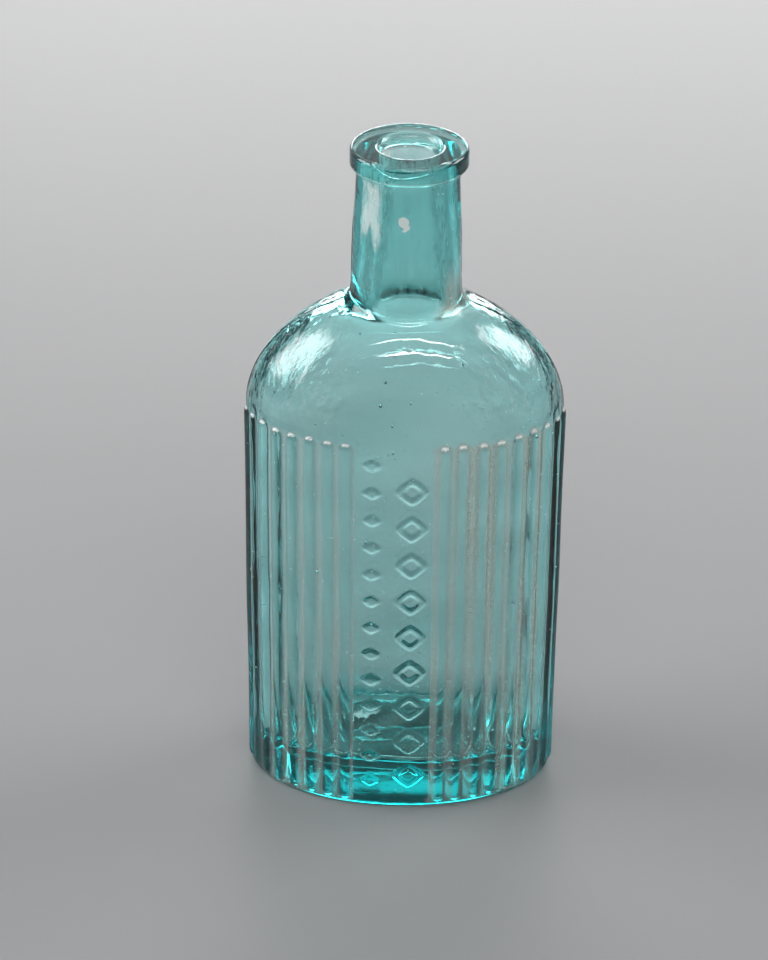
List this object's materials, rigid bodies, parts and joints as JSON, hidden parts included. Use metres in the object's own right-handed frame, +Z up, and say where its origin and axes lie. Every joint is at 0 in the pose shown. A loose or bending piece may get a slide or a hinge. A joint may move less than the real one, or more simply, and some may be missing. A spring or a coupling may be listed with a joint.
{
  "type": "medicine bottle",
  "caption": "Flat oval ribbed medicine bottle in pale aqua glass, with round shoulders, a tapering neck and an applied lip, empty and open.",
  "frame": {"origin": "centre of the oval resting face, on the axis of the neck", "axes": "+Z up along the neck's axis, out of the mouth; -Y is the front, with the mark panel between two fields of ribs; +Y is the plain back; X along the oval's long width"},
  "size_m": [0.0756, 0.0457, 0.165],
  "materials": {
    "aqua_glass": "clear aqua glass, fire-polished lip, faint waves, seed bubbles, haze and fine scratches, teal where it is thick"
  },
  "bodies": {
    "root": {"bottle_body": "aqua_glass", "lip_ring": "aqua_glass"}
  },
  "joints": []
}
